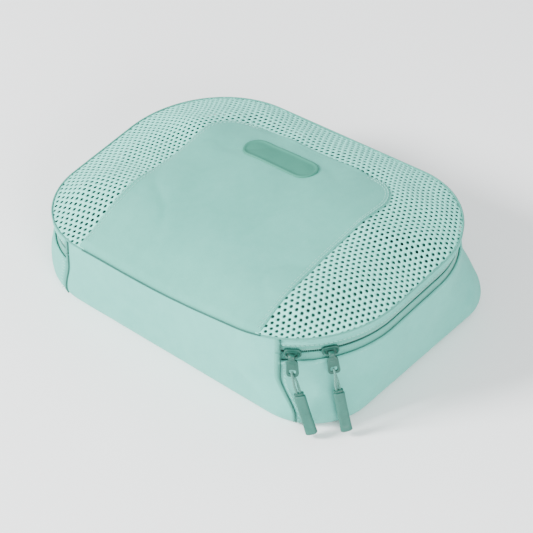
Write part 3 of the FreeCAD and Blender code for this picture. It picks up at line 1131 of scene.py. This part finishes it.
seam = {"width": 3.6 * mm, "height": 1.0 * mm, "sunk": 0.25 * mm, "foot": 2.6 * mm, "top": 11.6 * mm,
        "gap": 0.5 * mm, "thickness": 0.5 * mm, "across": 11, "rowPitch": 1.2 * mm,
        "wobble": 0.15 * mm, "wobbleSize": 5 * mm,
        "creaseShare": 1.2, "creaseRadius": 0.5 * mm, "creaseOut": 0.4 * mm}


def seamRibbon(name, place, low, high, body, node):
    # a rolled fold of cloth that stands a little off the wall, in a darkened fabric with a dark line
    # beside it: both painted shade of the fold
    perColumn = float(lengthAt[1] - lengthAt[0])
    share = np.linspace(-1, 1, seam["across"])
    across = share * seam["width"] / 2
    lift = seam["height"] * np.cos(share * math.pi / 2) ** 0.7 - seam["sunk"]
    creasePlace = place + seam["creaseShare"] * seam["width"] / 2 / perColumn
    grid = []
    uvs = []
    crease = []
    for z in np.linspace(low, high, max(6, int((high - low) / seam["rowPitch"]))):
        level = np.full(seam["across"], z)
        inset, radii = wallProfile([z])
        points, out = outlineAt(place + across / perColumn, inset, radii)
        wobble = seam["wobble"] * math.sin(z / seam["wobbleSize"] + place)
        points = points + out * lift[:, None] + np.stack([-out[:, 1], out[:, 0]], 1) * wobble
        grid.append(np.column_stack([points, level]))
        uvs.append(np.column_stack([across, level]))
        points, out = outlineAt([creasePlace], inset, radii)
        crease.append((*(points[0] + out[0] * seam["creaseOut"]), z))
    piece = gridPiece(name, np.array(grid), seamFabricPaintedShade, np.array(uvs))
    thicken(piece, seam["thickness"])
    line = tube(name + "Crease", crease, seam["creaseRadius"], creaseShadeFabric, 8)
    attach(joined(name, [piece, line]), body, "trim", node)


for label, place in (("Front", frontEnd - 0.4), ("Left", leftEnd + 0.4)):
    spot, _ = outlineAt([place], 0.0, cornerRadii)
    level = float(zipZ(*spot[0]))
    for name, low, high, body, node in (
            ("cornerSeam", seam["foot"], level - seam["gap"], "case", "corner_seam_"),
            ("lidSeam", level + seam["gap"], level + seam["top"], "lid", "lid_seam_")):
        seamRibbon(name + label, place, low, high, body, node + label.lower())
print("corner seams made")


bail = {"reach": 3.6 * mm, "radius": 0.7 * mm, "halfSpan": 4.0 * mm}
pulls = {"A": {"angle": 32.0, "lean": 16.0, "side": 14.0}, "B": {"angle": 51.0, "lean": 18.0, "side": 3.0}}
tab = {"width": 8 * mm, "length": 12 * mm, "thickness": 1.8 * mm, "slotWidth": 4.4 * mm,
       "slotHeight": 2.9 * mm, "top": 1.6 * mm, "below": 0.9 * mm, "bar": 0.85 * mm}
grip = {"neck": 12.5 * mm, "collar": 1.5 * mm, "length": 28 * mm, "width": 7.275 * mm,
        "thickness": 4.2 * mm, "rim": 1.3 * mm, "waist": 0.07, "flare": 0.05, "rows": 57,
        "ribs": (3 * mm, 10 * mm), "ribPitch": 1.9 * mm, "ribHeight": 0.05,
        "hollow": (12 * mm, 25 * mm), "hollowDepth": 0.35 * mm, "hollowHalf": 2.1 * mm}
loopCord = {"radius": 0.8 * mm, "loop": 1.75 * mm, "closed": 1.02 * mm, "twist": 80.0,
            "intoCollar": 0.3 * mm}
# how far down the collar and how wide each of its rings is
collarRings = ((0.0, 0.80), (0.12, 0.95), (0.35, 1.0), (1.15, 1.0), (1.38, 0.95), (1.5, 0.85))


def sliderFrame(angle):
    # X back along the zip to the spine, Y outward, Z up
    turn = math.radians(angle)
    tangent = Vector((math.cos(turn), math.sin(turn), 0))
    outward = Vector((math.sin(turn), -math.cos(turn), 0))
    tangent.z = cube["riseX"] * tangent.x + cube["riseY"] * tangent.y
    tangent.normalize()
    place = Vector((coreX, -coreY, 0)) + outward * corner
    place.z = zipZ(place.x, place.y)
    back = -tangent
    up = back.cross(outward)
    matrix = Matrix((back, outward, up)).transposed().to_4x4()
    return Matrix.Translation(place) @ matrix


def slab(name, outlinePoints, lowY, highY, material, bevelWidth, hole=None):
    # a flat plate in the XZ plane, with an optional hole of as many points
    count = len(outlinePoints)
    points = []
    for y in (lowY, highY):
        points += [(x, y, z) for x, z in outlinePoints]
        if hole is not None:
            points += [(x, y, z) for x, z in hole]
    faces = []
    layer = count * (2 if hole is not None else 1)
    for index in range(count):
        following = (index + 1) % count
        faces.append((index, following, layer + following, layer + index))
        if hole is not None:
            a, b = count + index, count + following
            faces.append((b, a, layer + a, layer + b))
            faces.append((following, index, a, b))
            faces.append((layer + index, layer + following, layer + b, layer + a))
    if hole is None:
        faces.append(tuple(range(count))[::-1])
        faces.append(tuple(layer + index for index in range(count)))
    piece = makePiece(name, points, faces, material)
    faceOutwards(piece)
    return soften(piece, bevelWidth, 3)


def roundedPlan(width, height, radius, steps=6, topScale=1.0, centre=(0.0, 0.0)):
    # a rounded rectangle as (x, z) pairs, narrower at the top if asked
    plan = []
    for signX, signZ, start in ((1, 1, 0), (-1, 1, 90), (-1, -1, 180), (1, -1, 270)):
        for step in range(steps):
            angle = math.radians(start + 90 * step / (steps - 1))
            z = signZ * (height / 2 - radius) + radius * math.sin(angle)
            x = signX * (width / 2 - radius) + radius * math.cos(angle)
            narrow = 1 + (topScale - 1) * (z / height + 0.5)
            plan.append((x * narrow + centre[0], z + centre[1]))
    return plan


def ringTube(name, width, outer, inner, material, sides=24):
    # a short ring round the X axis
    profile = [(-width / 2, inner), (-width / 2, outer - 0.3 * mm), (-width / 2 + 0.3 * mm, outer),
               (width / 2 - 0.3 * mm, outer), (width / 2, outer - 0.3 * mm), (width / 2, inner)]
    rings = []
    for angle in turns(sides):
        rings.append([(x, radius * math.cos(angle), radius * math.sin(angle)) for x, radius in profile])
    piece = gridPiece(name, np.array(rings), material, None, True, True)
    faceOutwards(piece)
    return piece


# width, height and corner of each plate, then its back, its front and its bevel, in millimetres
sliderPlates = {
    "Front": (11, 6.4, 2.6, -1.2, 0.4, 0.35), "Crest": (7.6, 3.2, 1.3, 0.2, 0.75, 0.2),
    "Post": (2.4, 1.2, 0.4, -5.5, -1.1, 0.1), "Back": (9, 6.2, 2.2, -6.4, -5.4, 0.3),
}


def makeSlider(label, place):
    name = "slider" + label
    body = "slider_" + label.lower()
    plates = []
    for part, sizes in sliderPlates.items():
        width, height, radius, low, high, bevel = (value * mm for value in sizes)
        plates.append(slab(name + part, roundedPlan(width, height, radius), low, high, enamel, bevel))
    attach(moved(joined(name + "Body", plates), place), body, "slider_metal", body + "_body")
    span, reach = bail["halfSpan"], bail["reach"]
    path = [(-span, 0.3 * mm, 0), (-span, 1.6 * mm, 0), (-span * 0.97, 2.6 * mm, 0),
            (-span * 0.84, 3.3 * mm, 0), (-span * 0.62, reach, 0), (0, reach + 0.05 * mm, 0)]
    path = path + [(-x, y, z) for x, y, z in reversed(path[:-1])]
    wire = tube(name + "Bail", refine(path, 3), bail["radius"], enamel, 12)
    attach(moved(wire, place), body, "slider_metal", body + "_bail")


def refine(path, rounds):
    # corner cutting that keeps the two ends
    path = np.array(path, float)
    for _ in range(rounds):
        first = path[:-1] * 0.75 + path[1:] * 0.25
        second = path[:-1] * 0.25 + path[1:] * 0.75
        middle = np.stack([first, second], 1).reshape(-1, 3)
        path = np.vstack([path[:1], middle, path[-1:]])
    return path


def makeTab(label, place):
    # plate with an eye round the bail, a slot and a bar for the cord
    name = "pull" + label
    low = -tab["length"] - tab["below"]
    high = -tab["top"]
    outer = roundedPlan(tab["width"], high - low, 2.2 * mm, 8, 0.86, (0, (high + low) / 2))
    slotMiddle = -tab["length"] + tab["bar"] + tab["slotHeight"] / 2
    hole = roundedPlan(tab["slotWidth"], tab["slotHeight"], 1.0 * mm, 8, 1.0, (0, slotMiddle))
    half = tab["thickness"] / 2
    plate = slab(name + "Plate", outer, -half, half, enamel, 0.3 * mm, hole)
    eye = ringTube(name + "Eye", 3.8 * mm, 2.1 * mm, 1.1 * mm, enamel)
    badge = slab(name + "Badge", roundedPlan(4.4 * mm, 3.0 * mm, 1.0 * mm, 6, 0.9, (0, -5.2 * mm)),
                 0.7 * mm, 1.15 * mm, enamel, 0.15 * mm)
    body = "pull_" + label.lower()
    attach(moved(joined(name + "Tab", [plate, eye, badge]), place), body, "slider_metal", body + "_tab")


def section(width, thickness, height, sides=40):
    # a flattened round with soft corners at one height
    def soft(value):
        return math.copysign(abs(value) ** (2 / 3.2), value)

    return np.array([(soft(math.cos(angle)) * width / 2, soft(math.sin(angle)) * thickness / 2, height)
                     for angle in turns(sides)])


def gripRing(share, top):
    down = share * grip["length"]
    end = min(1, min(down, grip["length"] - down) / grip["rim"])
    cap = math.sqrt(max(0.02, 1 - (1 - end) ** 2))
    waist = 1 - grip["waist"] * math.sin(math.pi * share) + grip["flare"] * share
    ribs = 0.0
    if grip["ribs"][0] < down < grip["ribs"][1]:
        ribs = grip["ribHeight"] * max(0.0, math.sin(down / grip["ribPitch"] * 2 * math.pi))
    ring = section(grip["width"] * waist * cap, grip["thickness"] * waist * cap * (1 + ribs), top - down)
    first, last = grip["hollow"]
    if first < down < last:  # shallow thumb hollow on the two flat faces
        depth = grip["hollowDepth"] * smooth(min(down - first, last - down) / (2 * mm))
        ring[:, 1] -= np.sign(ring[:, 1]) * depth * np.exp(-(ring[:, 0] / grip["hollowHalf"]) ** 4)
    return ring


def makeGrip(label, place):
    # cord loop round the bar, a collar and a moulded grip
    name = "pull" + label
    body = "grip_" + label.lower()
    node = "pull_" + label.lower()
    loop = loopCord["loop"]
    leg = []
    for share in np.linspace(0, 1, 15):
        twist = math.radians(loopCord["twist"]) * smooth(share)
        spread = loop + (loopCord["closed"] - loop) * smooth(share)
        leg.append((spread * math.sin(twist), spread * math.cos(twist),
                    -(grip["neck"] + loopCord["intoCollar"]) * share))
    bend = [(0, loop * math.cos(angle), loop * math.sin(angle))
            for angle in np.linspace(0, math.pi, 13)[1:-1]]
    path = leg[::-1] + bend + [(-x, -y, z) for x, y, z in leg]
    cord = tube(name + "Cord", path, loopCord["radius"], cordFinish, 12)
    attach(moved(cord, place), body, "cord", node + "_cord")
    top = -grip["neck"]
    collar = [section(6.2 * mm * scale, 4.0 * mm * scale, top - down * mm) for down, scale in collarRings]
    shares = np.linspace(0, 1, grip["rows"])
    handle = [gripRing(share, top - grip["collar"]) for share in shares]
    for part, rings, material in (("Collar", collar, enamel), ("Grip", handle, gripRubber)):
        piece = gridPiece(name + part, np.array(rings)[::-1], material, None, True, False, True)
        attach(moved(piece, place), body, "grip_rubber", node + "_" + part.lower())


for label, pose in pulls.items():
    place = sliderFrame(pose["angle"])
    makeSlider(label, place)
    hang = place @ Matrix.Translation((0, bail["reach"], 0))
    hang = hang @ Matrix.Rotation(math.radians(pose["lean"]), 4, "X")
    makeTab(label, hang)
    lean = Matrix.Rotation(math.radians(pose["side"]), 4, "Y")
    makeGrip(label, hang @ Matrix.Translation((0, 0, -tab["length"])) @ lean)
print("sliders and pulls made")


studio = {"floorHalf": 6.0, "cloud": 6.0, "air": (0.95, 0.98, 1.0, 1), "airStrength": 0.95,
          "target": (0, 0, 0.03)}
# place, diameter in metres and watts
lights = {"key": ((-1.1, -1.35, 1.1), 0.62, 104), "fill": ((1.5, -0.9, 0.8), 1.0, 40),
          "back": ((0.3, 1.4, 1.3), 1.2, 8)}


def makeStage():
    material, graph, shader = newMaterial("pale floor", Roughness=0.6)
    cloud = graph.noise(*graph.places("Object"), studio["cloud"], 2.0)
    tone = graph.mix(cloud, (0.92, 0.93, 0.93, 1), (0.95, 0.955, 0.955, 1))
    plug(graph, shader, **{"Base Color": tone})
    half = studio["floorHalf"]
    corners = [(-half, -half, 0), (half, -half, 0), (half, half, 0), (-half, half, 0)]
    makePiece("floor", corners, [(0, 1, 2, 3)], material)
    world = bpy.data.worlds.new("studio")
    world.use_nodes = True
    background = world.node_tree.nodes["Background"]
    background.inputs[0].default_value = studio["air"]
    background.inputs[1].default_value = studio["airStrength"]
    bpy.context.scene.world = world


def makeLights():
    for name, (place, size, power) in lights.items():
        light = bpy.data.lights.new(name, "AREA")
        light.shape = "DISK"
        light.size = size
        light.energy = power
        lamp = newObject(name, light)
        lamp.location = place
        aim = Vector(studio["target"]) - Vector(place)
        lamp.rotation_euler = aim.to_track_quat("-Z", "Y").to_euler()


view = {"azimuth": 40.0, "elevation": 42.0, "distance": 1.82, "lens": 191.0,
        "centre": (0.0, 0.0, 0.04), "right": 0.0052, "down": 0.0188}


def makeCamera():
    azimuth, elevation = math.radians(view["azimuth"]), math.radians(view["elevation"])
    back = Vector((math.sin(azimuth) * math.cos(elevation), -math.cos(azimuth) * math.cos(elevation),
                   math.sin(elevation)))
    right = Vector((math.cos(azimuth), math.sin(azimuth), 0))
    up = back.cross(right)
    aim = Vector(view["centre"]) + right * view["right"] - up * view["down"]
    data = bpy.data.cameras.new("camera")
    data.lens = view["lens"]
    data.sensor_width = 36
    data.clip_end = 50
    camera = newObject("camera", data)
    camera.location = aim + back * view["distance"]
    camera.rotation_euler = back.to_track_quat("Z", "Y").to_euler()
    bpy.context.scene.camera = camera


makeStage()
makeLights()
makeCamera()
